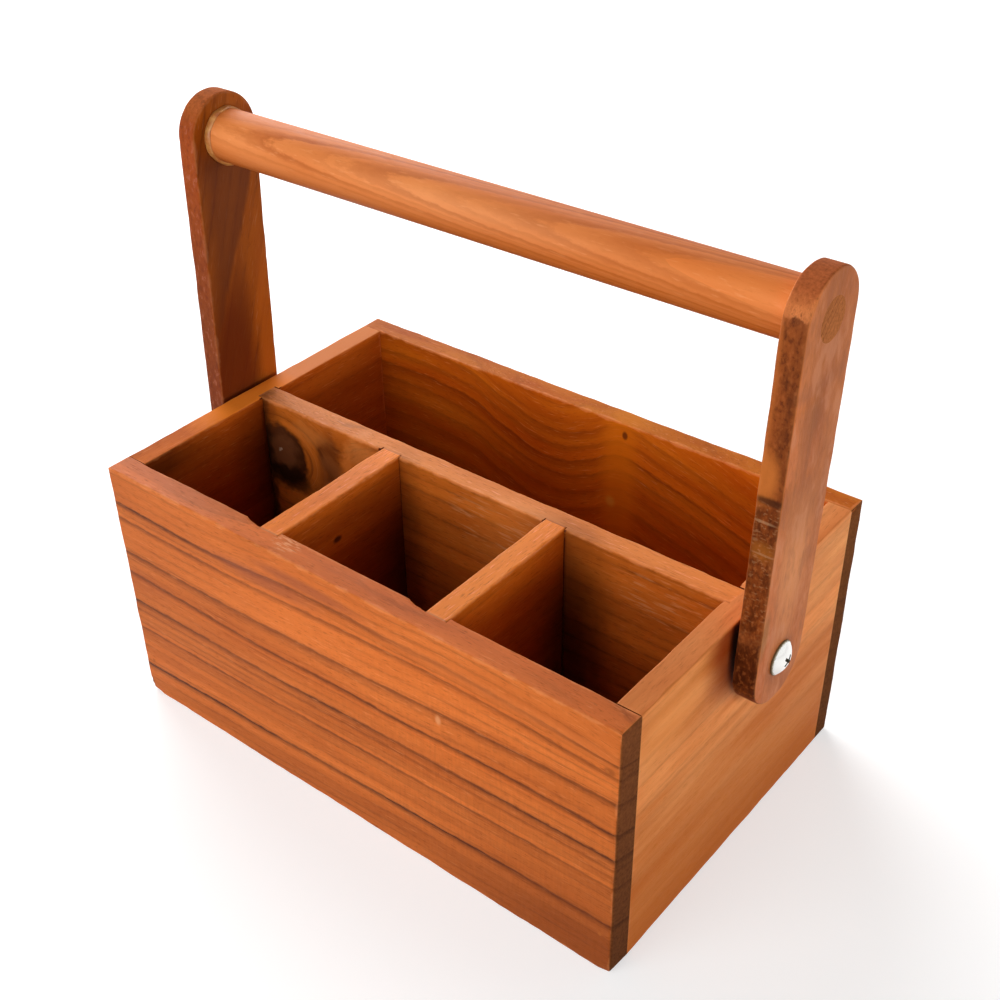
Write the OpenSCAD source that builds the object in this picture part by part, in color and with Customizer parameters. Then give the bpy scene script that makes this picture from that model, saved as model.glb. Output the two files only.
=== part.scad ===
// Teak cutlery caddy: a box of four open compartments under a swinging carry handle.
// X runs along the length, Y to the back and Z up.
// The origin is on the table, under the middle of the box.

/* [Box] */
// Length over the outer faces of the end panels
box_l = 250; // [200:1:320]
// Depth over the outer faces of the front and back panels
box_d = 162; // [130:1:210]
// Height of the walls and dividers above the table
box_h = 119; // [108:1:150]
// Thickness of the front panel
front_t = 11; // [8:0.5:15]
// Thickness of the back panel
back_t = 9.5; // [7:0.5:15]
// Thickness of the two end panels
end_t = 10; // [8:0.5:15]
// Radius of the eased arrises on the outside of the box
outer_ease = 0.8; // [0.4:0.1:2]
// Radius of the eased arrises along the tops of the inner faces
inner_ease = 0.6; // [0.3:0.1:1.2]

/* [Bottom] */
// Thickness of the bottom board
bottom_t = 6; // [4:0.5:9]
// Height of the bottom board's underside above the table
bottom_lift = 5; // [3:0.5:8]
// Depth of the groove in the walls that holds the bottom board
groove_depth = 3; // [2:0.5:5]

/* [Dividers] */
// Thickness of the three dividers
divider_t = 10; // [8:0.5:14]
// Distance between the middles of the two cross dividers
cross_pitch = 82.5; // [60:0.5:110]
// Depth of the housings in the outer panels that hold the divider ends
panel_housing = 2.5; // [1:0.5:4]
// Depth of the housings in the long divider that hold the cross dividers
divider_housing = 2; // [1:0.5:3]
// Clearance on each side of a divider in its housing
housing_play = 0.1; // [0.05:0.05:0.3]
// Radius of the eased arrises along the tops of the dividers
divider_ease = 1; // [0.4:0.1:2]

/* [Handle] */
// Distance from the pivot to the middle of the dowel
handle_reach = 129.3; // [122:0.1:180]
// Lean of the standing handle towards the back, in degrees
handle_lean = 2; // [-10:0.5:10]
// Width of an arm, and diameter of its round ends
arm_w = 33; // [28:0.5:44]
// Thickness of an arm
arm_t = 9; // [6:0.5:14]
// Distance of the middle of the low round end below the pivot
arm_tail = 2.2; // [0:0.1:6]
// Radius of the eased arrises of an arm
arm_ease = 0.8; // [0.4:0.1:2.5]
// Diameter of the dowel that the hand grips
dowel_d = 20.8; // [16:0.2:24]
// Diameter of the tenons that pass through the arms
tenon_d = 15; // [8:0.5:15]

/* [Pivot] */
// Distance of the pivot below the top of the box
pivot_drop = 17.5; // [15:0.5:43]
// Diameter of the pivot screws
screw_d = 5; // [4:0.25:6]
// Length of the pivot screws under the head
screw_len = 45; // [36:1:60]
// Length of the tapered tip of the pivot screws
tip_len = 7; // [3:0.5:10]
// Diameter of the pivot screws at the end of the tip
tip_d = 1; // [0.5:0.1:2]
// Diameter of the domed screw heads
head_d = 13.5; // [11:0.5:18]
// Height of the domed screw heads
head_h = 3.3; // [2.8:0.1:5]
// Height of the straight rim under the dome
head_rim = 0.5; // [0.2:0.1:1]
// Length across the cross recess in the screw heads
recess_l = 4.8; // [3:0.2:7]
// Width of each slot of the cross recess
recess_w = 1.2; // [0.8:0.1:1.6]
// Depth of the cross recess below the top of the dome
recess_depth = 2; // [1:0.1:2.4]
// Outer diameter of the washers that hold the arms off the box
washer_d = 14; // [10:0.5:20]
// Thickness of the washers that hold the arms off the box
washer_t = 2.4; // [1:0.1:5]
// Radial clearance of a pivot screw in its arm
shank_play = 0.08; // [0.02:0.01:0.1]
// Clearance between an arm and the washer or screw head beside it
end_play = 0.1; // [0.05:0.05:0.3]

/* [Brads] */
// Diameter of the brads that pin the front and back panels to the end panels
brad_d = 1.6; // [1.2:0.1:2]
// Length of the brads
brad_len = 25; // [18:1:32]
// Distance of the brads from the top and bottom edges
brad_inset = 19; // [17:1:30]

/* [Hidden] */
$fn = 64;

teak = "#c0672f";
dark_teak = "#8c4a22";
pale_teak = "#d88a4e";
bright_nickel = "#d9d9d6";
brad_steel = "#6f6a64";

// Overshoot of cuts past the faces they open on
cut = 1;

// Inner faces of the four walls
end_in = box_l/2 - end_t;
front_in = -box_d/2 + front_t;
back_in = box_d/2 - back_t;

// Bottom board, in its groove on all four sides
bottom_x = end_in + groove_depth;
bottom_y0 = front_in - groove_depth;
bottom_y1 = back_in + groove_depth;
floor_z = bottom_lift + bottom_t;

// Long divider, midway between the front and back panels
divider_y = (front_in + back_in)/2;
divider_front = divider_y - divider_t/2;
divider_x = end_in + panel_housing;
housing_w = divider_t + 2*housing_play;

// Cross dividers, from the front panel's housing to the long divider's
cross_y0 = front_in - panel_housing;
cross_y1 = divider_front + divider_housing;

// Handle, outside the end panels
pivot_h = box_h - pivot_drop;
arm_in = box_l/2 + washer_t + end_play;
arm_out = arm_in + arm_t;
head_seat = arm_out + end_play;
dome_h = head_h - head_rim;
dome_r = (pow(head_d/2, 2) + pow(dome_h, 2))/(2*dome_h);

// Flat outline of a w by h board with corners rounded to r = [low left, low right, high right, high left]
module eased_rect(w, h, r) {
    difference() {
        square([w, h]);
        corner_waste(r[0]);
        translate([w, 0]) mirror([1, 0]) corner_waste(r[1]);
        translate([w, h]) rotate(180) corner_waste(r[2]);
        translate([0, h]) mirror([0, 1]) corner_waste(r[3]);
    }
}

// What rounding takes off a square corner at the origin, nothing where the corner stays sharp
module corner_waste(r) {
    if (r > 0)
        difference() {
            square(r);
            translate([r, r]) circle(r);
        }
}

// Sweeps an outline drawn in (Y, Z) along X, from x0 to x1
module along_x(x0, x1) {
    translate([x0, 0, 0]) rotate([90, 0, 90]) linear_extrude(x1 - x0) children();
}

// Sweeps an outline drawn in (X, Z) along Y, from y0 to y1
module along_y(y0, y1) {
    translate([0, y1, 0]) rotate([90, 0, 0]) linear_extrude(y1 - y0) children();
}

// Sweeps an outline drawn in (X, Y) up Z, from z0 to z1
module along_z(z0, z1) {
    translate([0, 0, z0]) linear_extrude(z1 - z0) children();
}

// A block between two opposite corners
module block(low, high) {
    translate(low) cube(high - low);
}

// A full-length panel in the place of the front one, as a board eased on its outside
module long_board(thickness) {
    y0 = -box_d/2;
    outer = outer_ease;
    intersection() {
        along_x(-box_l/2, box_l/2)
            translate([y0, 0]) eased_rect(thickness, box_h, [outer, 0, inner_ease, outer]);
        along_y(y0, y0 + thickness)
            translate([-box_l/2, 0]) eased_rect(box_l, box_h, [outer, outer, outer, outer]);
        along_z(0, box_h)
            translate([-box_l/2, y0]) eased_rect(box_l, thickness, [outer, outer, 0, 0]);
    }
}

// The right-hand end panel as a plain board, before it is housed, grooved and drilled
module end_board() {
    along_y(front_in, back_in)
        translate([end_in, 0]) eased_rect(end_t, box_h, [0, outer_ease, outer_ease, inner_ease]);
}

// Space that the bottom board fills
module bottom_space() {
    block([-bottom_x, bottom_y0, bottom_lift], [bottom_x, bottom_y1, floor_z]);
}

// Housing for the long divider in the right-hand end panel, open at the top
module end_housing() {
    y0 = divider_y - housing_w/2;
    block([end_in - cut, y0, floor_z], [divider_x, y0 + housing_w, box_h + cut]);
}

// Housing for a cross divider at x, between two depths, open at the top
module cross_housing(x, y0, y1) {
    block([x - housing_w/2, y0, floor_z], [x + housing_w/2, y1, box_h + cut]);
}

// A cross divider whose middle is at x
module cross_divider(x) {
    top = divider_ease;
    along_y(cross_y0, cross_y1)
        translate([x - divider_t/2, floor_z]) eased_rect(divider_t, box_h - floor_z, [0, 0, top, top]);
}

// The two brads of one corner: side is the end, depth the outer face that they enter
module corner_brads(side, y_out) {
    for (z = [brad_inset, box_h - brad_inset])
        translate([side*(end_in + end_t/2), y_out, z])
            rotate([sign(y_out)*90, 0, 0]) cylinder(d = brad_d, h = brad_len);
}

module all_brads() {
    for (side = [-1, 1], y_out = [-box_d/2, box_d/2])
        corner_brads(side, y_out);
}

// Shank and tip of the right-hand pivot screw
module screw_shank() {
    straight = screw_len - tip_len;
    translate([head_seat, 0, pivot_h]) rotate([0, -90, 0]) {
        cylinder(d = screw_d, h = straight);
        translate([0, 0, straight]) cylinder(d1 = screw_d, d2 = tip_d, h = tip_len);
    }
}

// Domed head of the right-hand pivot screw, with its cross recess
module screw_head() {
    translate([head_seat, 0, pivot_h]) rotate([0, 90, 0]) difference() {
        rotate_extrude() {
            square([head_d/2, head_rim]);
            translate([0, head_rim]) intersection() {
                translate([0, dome_h - dome_r]) circle(dome_r);
                square([head_d/2, dome_h]);
            }
        }
        for (turn = [45, 135])
            rotate(turn) translate([-recess_l/2, -recess_w/2, head_h - recess_depth])
                cube([recess_l, recess_w, recess_depth + cut]);
    }
}

module pivot_screw() {
    color(bright_nickel) {
        screw_head();
        screw_shank();
    }
}

module washer() {
    color(bright_nickel)
        translate([box_l/2, 0, pivot_h]) rotate([0, 90, 0]) difference() {
            cylinder(d = washer_d, h = washer_t);
            translate([0, 0, -cut]) cylinder(d = screw_d, h = washer_t + 2*cut);
        }
}

// Puts what is drawn about the pivot axis in the leaning place of the handle
module on_handle() {
    translate([0, 0, pivot_h]) rotate([-handle_lean, 0, 0]) children();
}

// Half of an arm's round end, on the far side of its pivot or dowel
module arm_end() {
    rotate_extrude(angle = 180) eased_rect(arm_w/2, arm_t, [0, arm_ease, arm_ease, 0]);
}

// The right-hand arm, a flat bar with round ends
module arm() {
    ease = [arm_ease, arm_ease, arm_ease, arm_ease];
    color(dark_teak) on_handle() translate([arm_in, 0, 0]) rotate([90, 0, 90]) difference() {
        union() {
            along_y(-arm_tail, handle_reach) translate([-arm_w/2, 0]) eased_rect(arm_w, arm_t, ease);
            translate([0, handle_reach, 0]) arm_end();
            translate([0, -arm_tail, 0]) rotate(180) arm_end();
        }
        translate([0, 0, -cut]) cylinder(d = screw_d + 2*shank_play, h = arm_t + 2*cut);
        translate([0, handle_reach, -cut]) cylinder(d = tenon_d, h = arm_t + 2*cut);
    }
}

// Right-hand half of the dowel's outline with its tenon, turned about its own axis
module dowel_outline() {
    square([dowel_d/2, arm_in]);
    square([tenon_d/2, arm_out]);
}

module front_panel() {
    color(teak) difference() {
        long_board(front_t);
        bottom_space();
        for (x = [-cross_pitch/2, cross_pitch/2])
            cross_housing(x, cross_y0, front_in + cut);
        all_brads();
    }
}

module back_panel() {
    color(teak) difference() {
        mirror([0, 1, 0]) long_board(back_t);
        bottom_space();
        all_brads();
    }
}

module right_end_panel() {
    color(teak) difference() {
        end_board();
        bottom_space();
        end_housing();
        screw_shank();
        all_brads();
    }
}

module left_end_panel() {
    mirror([1, 0, 0]) right_end_panel();
}

module bottom_board() {
    color(dark_teak) bottom_space();
}

module long_divider() {
    top = divider_ease;
    color(teak) difference() {
        along_x(-divider_x, divider_x)
            translate([divider_front, floor_z]) eased_rect(divider_t, box_h - floor_z, [0, 0, top, top]);
        for (x = [-cross_pitch/2, cross_pitch/2])
            cross_housing(x, divider_front - cut, cross_y1);
        screw_shank();
        mirror([1, 0, 0]) screw_shank();
    }
}

module left_cross_divider() {
    color(pale_teak) cross_divider(-cross_pitch/2);
}

module right_cross_divider() {
    color(pale_teak) cross_divider(cross_pitch/2);
}

module panel_brads() {
    color(brad_steel) all_brads();
}

module right_pivot_screw() {
    pivot_screw();
}

module left_pivot_screw() {
    mirror([1, 0, 0]) pivot_screw();
}

module right_washer() {
    washer();
}

module left_washer() {
    mirror([1, 0, 0]) washer();
}

module right_arm() {
    arm();
}

module left_arm() {
    mirror([1, 0, 0]) arm();
}

module handle_dowel() {
    color(pale_teak) on_handle() translate([0, 0, handle_reach]) rotate([0, 90, 0]) rotate_extrude() {
        dowel_outline();
        mirror([0, 1]) dowel_outline();
    }
}

front_panel();
back_panel();
left_end_panel();
right_end_panel();
bottom_board();
long_divider();
left_cross_divider();
right_cross_divider();
panel_brads();
left_pivot_screw();
right_pivot_screw();
left_washer();
right_washer();
left_arm();
right_arm();
handle_dowel();
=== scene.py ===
import math
from functools import partial

import bmesh
import bpy
from mathutils import Matrix, Vector, noise


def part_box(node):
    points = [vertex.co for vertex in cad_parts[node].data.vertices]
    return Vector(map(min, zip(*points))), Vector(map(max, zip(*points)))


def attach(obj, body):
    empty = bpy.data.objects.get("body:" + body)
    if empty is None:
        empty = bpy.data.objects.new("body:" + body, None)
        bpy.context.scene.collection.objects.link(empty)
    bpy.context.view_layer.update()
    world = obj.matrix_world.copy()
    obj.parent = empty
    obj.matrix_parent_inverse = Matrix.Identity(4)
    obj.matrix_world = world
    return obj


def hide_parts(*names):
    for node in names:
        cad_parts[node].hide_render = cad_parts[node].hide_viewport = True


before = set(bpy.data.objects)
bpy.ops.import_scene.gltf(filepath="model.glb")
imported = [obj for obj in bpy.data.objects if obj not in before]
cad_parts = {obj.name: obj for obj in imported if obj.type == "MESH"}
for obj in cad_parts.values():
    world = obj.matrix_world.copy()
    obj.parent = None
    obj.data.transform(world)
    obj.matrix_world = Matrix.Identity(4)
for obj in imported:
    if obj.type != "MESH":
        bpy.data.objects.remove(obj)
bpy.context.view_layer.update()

# Sizes of the object in millimetres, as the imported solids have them
BOX_HALF_L, BOX_H = 125.0, 119.0
FRONT_FACE, FRONT_IN, BACK_IN, DIVIDER_FACE, LEFT_CROSS_FACE = -81.0, -70.0, 71.5, -4.25, -36.25
PIVOT_H, HANDLE_REACH, ARM_TAIL, HANDLE_LEAN = 101.5, 129.3, 2.2, math.radians(2.0)
ARM_HALF_W, ARM_HALF_T, ARM_MID_X = 16.5, 4.5, 132.0
DOWEL_R = 10.4
DOWEL_AXIS = (0, HANDLE_REACH * math.sin(HANDLE_LEAN), PIVOT_H + HANDLE_REACH * math.cos(HANDLE_LEAN))
MM = 0.001

# The photograph's camera, found from the object's corners
CAMERA_PLACE = (0.29528, -0.35308, 0.42855)
CAMERA_RIGHT = (0.77129, 0.63592, -0.02676)
CAMERA_UP = (-0.35841, 0.46867, 0.80740)
CAMERA_LENS, CAMERA_SENSOR = 50.898, 36.0
CAMERA_SHIFT = (0.03822, 0.03757)

# Range of a normal's part along an axis over which a face comes to count as turned to it, or away from it
TOWARDS, AWAY = (0.5, 0.9, 0, 1), (-0.5, -0.9, 0, 1)


def linear(code):
    """A colour written as sRGB hex, in the linear values that a shader takes."""
    parts = [int(code[i:i + 2], 16) / 255 for i in (1, 3, 5)]
    return (*(p / 12.92 if p <= 0.04045 else ((p + 0.055) / 1.055) ** 2.4 for p in parts), 1.0)


def add(tree, kind, *inputs, out=0, named=None, **settings):
    """Add one node. Inputs fill its sockets in order and named ones by name: a socket is linked, a value is set."""
    made = tree.nodes.new("ShaderNode" + kind)
    for key, value in settings.items():
        setattr(made, key, value)
    for key, value in [*enumerate(inputs), *(named or {}).items()]:
        if isinstance(value, bpy.types.NodeSocket):
            tree.links.new(value, made.inputs[key])
        elif value is not None:
            made.inputs[key].default_value = value
    return made.outputs[out]


def new_material(name):
    """A new material, its tree of nodes and its shader."""
    made = bpy.data.materials.new(name)
    made.use_nodes = True
    return made, made.node_tree, made.node_tree.nodes["Principled BSDF"]


def spot(tree, place, centre, reach, soft=0.4):
    """1 inside an oval of the given half sizes in millimetres, fading to 0 over its soft rim."""
    put = partial(add, tree)
    away = put("VectorMath", place, centre, operation="SUBTRACT")
    away = put("VectorMath", away, tuple(1 / r for r in reach), operation="MULTIPLY")
    away = put("VectorMath", away, operation="LENGTH", out=1)
    return put("MapRange", away, 1 + soft / 2, 1 - soft / 2, 0, 1, interpolation_type="SMOOTHSTEP")


def stained(here, colour, marks, place=None, only=None):
    """Lay soft-edged marks over a colour. Each is its centre and half sizes in millimetres, how soft its rim is, how
    much of it shows, and its shade. Only is a mask of the faces that take them."""
    tree = here["tree"]
    put = partial(add, tree)
    for centre, reach, soft, most, shade in marks:
        share = spot(tree, here["place"] if place is None else place, centre, reach, soft)
        share = put("Math", share, most, operation="MULTIPLY")
        if only is not None:
            share = put("Math", share, only, operation="MULTIPLY")
        colour = put("MixRGB", share, colour, linear(shade))
    return colour


def mottled(here, colour, patches, only):
    """Shade a colour where a pattern passes from one value to another. Each patch is the pattern, the two values, how
    much shows at the second, and the shade. Only is a mask of the faces that take them."""
    put = partial(add, here["tree"])
    for pattern, start, full, most, shade in patches:
        share = put("Math", put("MapRange", pattern, start, full, 0, most), only, operation="MULTIPLY")
        colour = put("MixRGB", share, colour, linear(shade))
    return colour


def board_arris(tree, place, name):
    """Millimetres from the nearest arris of a straight board, for a point on its surface."""
    put = partial(add, tree)
    low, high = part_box(name)
    middle = tuple((a + b) / 2 / MM for a, b in zip(low, high))
    half = tuple((b - a) / 2 / MM for a, b in zip(low, high))
    off = put("VectorMath", put("VectorMath", place, middle, operation="SUBTRACT"), operation="ABSOLUTE")
    a, b, c = put("SeparateXYZ", put("VectorMath", half, off, operation="SUBTRACT")).node.outputs
    low_two = put("Math", a, b, operation="MINIMUM")
    high_two = put("Math", a, b, operation="MAXIMUM")
    return put("Math", low_two, put("Math", high_two, c, operation="MINIMUM"), operation="MAXIMUM")


def arm_arris(tree, place, middle):
    """Millimetres from the nearest arris of an arm, whose outline has round ends."""
    put = partial(add, tree)
    x, u, d = put("SeparateXYZ", place).node.outputs
    held = put("Clamp", d, PIVOT_H - ARM_TAIL, PIVOT_H + HANDLE_REACH)
    out = put("CombineXYZ", u, put("Math", d, held, operation="SUBTRACT"))
    rim = put("Math", ARM_HALF_W, put("VectorMath", out, operation="LENGTH", out=1), operation="SUBTRACT")
    side = put("Math", put("Math", x, middle, operation="SUBTRACT"), operation="ABSOLUTE")
    side = put("Math", ARM_HALF_T, side, operation="SUBTRACT")
    return put("Math", rim, side, operation="MAXIMUM")


# Slope along the board of the heights at which one curve of a bend takes over from another
BEND_TILT = 0.028


def bent(tree, run, level, bend):
    """The height of the growth lines with their bend along the board taken out. Each curve of the bend has the two
    heights between which it takes over, and its rise in millimetres at places along the board."""
    put = partial(add, tree)
    first, last = -BOX_HALF_L, BOX_HALF_L
    most = max(abs(rise) for _, _, curve in bend for _, rise in curve) * 1.25
    tilted = put("Math", put("Math", run, first, operation="SUBTRACT"), -BEND_TILT, level, operation="MULTIPLY_ADD")
    total = None
    for low, high, curve in bend:
        rise = put("FloatCurve", 1.0, put("MapRange", run, first, last, 0, 1))
        points = rise.node.mapping.curves[0].points
        shape = [((at - first) / (last - first), 0.5 + up / most / 2) for at, up in curve]
        for point, spot_on_curve in zip(points, (shape[0], shape[-1])):
            point.location = spot_on_curve
        for u, v in shape[1:-1]:
            points.new(u, v)
        rise.node.mapping.update()
        rise = put("Math", put("Math", rise, 0.5, operation="SUBTRACT"), 2 * most, operation="MULTIPLY")
        if total is None:
            total = rise
        else:
            total = put("Mix", put("MapRange", tilted, low, high, 0, 1), named={2: total, 3: rise})
    return put("Math", level, total, operation="SUBTRACT")


def inked(tree, level, drawn, over):
    """How dark the lines that are drawn one by one are. Each has its height, its darkness, and the millimetres over
    which it fades below and above. Over is the range of heights that holds them all."""
    put = partial(add, tree)
    first, last = over
    ramp = put("ValToRGB", put("MapRange", level, first, last, 0, 1))
    stops = ramp.node.color_ramp.elements
    marks = []
    for at, dark, under, above in drawn:
        marks += [(at - under, 0.0), (at - min(0.9, under / 2), 0.6 * dark), (at, dark), (at + above, 0.0)]
    marks.sort()
    for stop, (at, dark) in zip(stops, marks[:2]):
        stop.position, stop.color = (at - first) / (last - first), (dark, dark, dark, 1)
    for at, dark in marks[2:]:
        stops.new((at - first) / (last - first)).color = (dark, dark, dark, 1)
    return ramp


def teak(name, along, height, deep, tones, line="#2c1006", end="#5c2a10", pore="#5a2408", fleck="#f09a60",
         arris=None, wear=0.3, bend=(), drawn=(), drawn_over=(0, BOX_H), spacing=8.0, strength=0.45, wander=1.2,
         seed=1.0, fleckiness=0.25, raggedness=0.6, pored=0.5, special=None, warp=None, leaning=False,
         origin=(0, 0, 0), top=(1, 1, 1), gleam=0.08):
    """Oiled teak, sawn and sanded: orange to red-brown, with thin dark growth lines, short dark pores and pale flecks
    along the fibres, near-black brown where the fibres end, and a satin gloss. All patterns are solid, so the faces
    and edges of a board agree. Along and deep are axes, and height is the direction across the growth lines. Warp
    bends the lines round a knot, and special lays on the marks that one board has alone."""
    made, tree, surface = new_material(name)
    put = partial(add, tree)
    coords = put("TexCoord").node.outputs
    place = put("VectorMath", coords["Object"], (1 / MM,) * 3, operation="MULTIPLY")
    if leaning:
        place = put("VectorRotate", place, (0, 0, PIVOT_H), named={"Angle": HANDLE_LEAN}, rotation_type="X_AXIS")
    axes = put("SeparateXYZ", place).node.outputs
    facing = put("SeparateXYZ", coords["Normal"]).node.outputs
    run = axes[along]

    # Height of the growth line through each point, bent along the board and wandering slowly
    level = put("VectorMath", place, origin, operation="SUBTRACT")
    level = put("VectorMath", level, height, operation="DOT_PRODUCT", out=1)
    if bend:
        level = bent(tree, run, level, bend)
    if warp:
        level = warp(tree, place, level)
    stretch = [1 / 15] * 3
    stretch[along] = 1 / 80
    drift = put("VectorMath", place, tuple(stretch), (seed, 2 * seed, 3 * seed), operation="MULTIPLY_ADD")
    drift = put("Math", put("TexNoise", drift, None, 1.0, 2.0, 0.5), 0.5, operation="SUBTRACT")
    level = put("Math", drift, 2 * wander, level, operation="MULTIPLY_ADD")
    grain = put("CombineXYZ", run, level, axes[deep])
    here = {"tree": tree, "place": place, "axes": axes, "grain": grain, "facing": facing}

    # Broad tone, 90 mm long and 12 mm high, then each growth ring a little apart from the next
    broad = put("VectorMath", grain, (1 / 90, 1 / 12, 1 / 12), (3 * seed, seed, 0), operation="MULTIPLY_ADD")
    broad = put("MapRange", put("TexNoise", broad, None, 1.0, 3.0, 0.55), 0.32, 0.68, 0, 1)
    colour = put("MixRGB", broad, linear(tones[0]), linear(tones[1]))
    ring = {"W": put("Math", level, seed * 50, operation="ADD"), "Scale": 1 / spacing, "Randomness": 0.9}
    tint = put("TexVoronoi", named=ring, out="Color", voronoi_dimensions="1D", feature="F1")
    tint = put("MapRange", put("SeparateColor", tint), 0, 1, 0.88, 1.1)
    colour = put("VectorMath", colour, named={"Scale": tint}, operation="SCALE")

    # Growth lines, 0.5 to 1 mm wide, that fade and return along the board
    ragged = put("VectorMath", grain, (1 / 5, 1 / 1.2, 1 / 1.2), operation="MULTIPLY")
    ragged = put("MapRange", put("TexNoise", ragged, None, 1.0, 3.0, 0.6), 0.3, 0.7, -raggedness, raggedness)
    fading = put("VectorMath", grain, (1 / 55, 1 / 7, 1 / 7), (seed, 5 * seed, 0), operation="MULTIPLY_ADD")
    fading = put("MapRange", put("TexNoise", fading, None, 1.0, 2.0, 0.5), 0.36, 0.62, 0, 1)
    edge = put("TexVoronoi", named=ring, out="Distance", voronoi_dimensions="1D", feature="DISTANCE_TO_EDGE")
    edge = put("Math", put("Math", edge, spacing, operation="MULTIPLY"), ragged, operation="ADD")
    thin = put("MapRange", edge, 1.0, 0.1, 0, 1, interpolation_type="SMOOTHSTEP")
    wide = put("MapRange", edge, 3.2, 0.2, 0, 0.35, interpolation_type="SMOOTHSTEP")
    lines = put("Math", put("Math", thin, wide, operation="MAXIMUM"), fading, operation="MULTIPLY")
    lines = put("Math", lines, strength, operation="MULTIPLY")
    if drawn:
        ink = inked(tree, put("Math", ragged, level, operation="ADD"), drawn, drawn_over)
        keep = put("MapRange", fading, 0, 1, 0.72, 1.0)
        lines = put("Math", lines, put("Math", ink, keep, operation="MULTIPLY"), operation="MAXIMUM")
    colour = put("MixRGB", lines, colour, linear(line))

    # Pores are short dark strokes 2 to 8 mm long, and flecks are pale ones
    fibre = put("VectorMath", grain, (1 / 4.5, 1 / 0.5, 1 / 0.5), operation="MULTIPLY")
    fibre = put("TexNoise", fibre, None, 1.0, 3.0, 0.6)
    colour = put("MixRGB", put("MapRange", fibre, 0.56, 0.72, 0, pored), colour, linear(pore))
    flecks = put("VectorMath", grain, (1 / 7, 1 / 0.7, 1 / 0.7), (40, 17, 5), operation="MULTIPLY_ADD")
    flecks = put("MapRange", put("TexNoise", flecks, None, 1.0, 2.0, 0.5), 0.6, 0.75, 0, fleckiness)
    colour = put("MixRGB", flecks, colour, linear(fleck))

    if special:
        colour = special(colour, here)

    # Faces turned up are painted lighter or darker by the given factors, as painted light and shade on the tops
    upward = put("MapRange", facing["Z"], *TOWARDS)
    colour = put("MixRGB", upward, colour, put("VectorMath", colour, top, operation="MULTIPLY"))

    # End grain drinks the oil and turns dark, most of all along the growth lines
    across = put("Math", facing[along], operation="ABSOLUTE")
    ends = put("MapRange", across, 0.4, 0.8, 0, 1, interpolation_type="SMOOTHSTEP")
    speckle = put("VectorMath", place, (1 / 1.1,) * 3, operation="MULTIPLY")
    speckle = put("MapRange", put("TexNoise", speckle, None, 1.0, 3.0, 0.6), 0.3, 0.7, 0.75, 1.3)
    speckle = put("Math", speckle, put("MapRange", axes[2], 0, BOX_H, 0.8, 1.25), operation="MULTIPLY")
    speckle = put("Math", speckle, put("MapRange", lines, 0, 0.8, 1.06, 0.6), operation="MULTIPLY")
    dark = put("VectorMath", linear(end)[:3], named={"Scale": speckle}, operation="SCALE")
    colour = put("MixRGB", ends, colour, dark)

    # Sanded arrises are rubbed paler, in patches about 9 mm long
    if arris:
        rub = put("VectorMath", place, (1 / 9,) * 3, operation="MULTIPLY")
        rub = put("MapRange", put("TexNoise", rub, None, 1.0, 3.0, 0.6), 0.35, 0.65, -0.6, 0.9)
        rub = put("Math", arris(tree, place), rub, operation="ADD")
        rub = put("MapRange", rub, 1.3, 0.2, 0, wear, interpolation_type="SMOOTHSTEP")
        rub = put("Math", rub, put("MapRange", ends, 0, 1, 1, 0), operation="MULTIPLY")
        colour = put("MixRGB", rub, colour, linear(fleck))

    gloss = put("MapRange", ends, 0, 1, put("MapRange", fibre, 0.3, 0.7, 0.43, 0.59), 0.95)
    relief = put("Math", put("Math", lines, -0.5, operation="MULTIPLY"), fibre, operation="SUBTRACT")
    surface.inputs["Specular IOR Level"].default_value = gleam
    tree.links.new(colour, surface.inputs["Base Color"])
    tree.links.new(gloss, surface.inputs["Roughness"])
    tree.links.new(put("Bump", 0.6, 0.00012, named={"Height": relief}), surface.inputs["Normal"])
    return made


def dress(node, made):
    """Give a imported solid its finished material."""
    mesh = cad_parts[node].data
    mesh.materials.clear()
    mesh.materials.append(made)


def rubbed(at, wear, dents):
    """How much wider than in the solid the rounding of an arris is at a point, in times."""
    times = 1.0 + wear * noise.noise(at / 11) + 0.5 * wear * noise.noise(at / 4 + Vector((7, 3, 5)))
    for centre, reach, deeper in dents:
        away = Vector([(a - c) / r for a, c, r in zip(at, centre, reach)]).length
        times += deeper * max(0.0, 1 - away) ** 0.5 * (1 + 0.35 * noise.noise(at / 1.5))
    return max(0.35, times)


# Spacing in millimetres of the cuts that give a worn arris its points, the strip along each edge that is left uncut,
# and the places of the finer cuts across a dent, as shares of its half size
CUT, CLEAR = 3.1, 4.2
FINE_CUTS = [-1.0, -0.8, -0.6, -0.4, -0.2, 0.01, 0.2, 0.4, 0.6, 0.8, 0.95]
# A side shorter than this isn't cut, and a point this far past the rounding still belongs to it, in millimetres
SHORT_SIDE, NEAR = 20, 0.05


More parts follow.
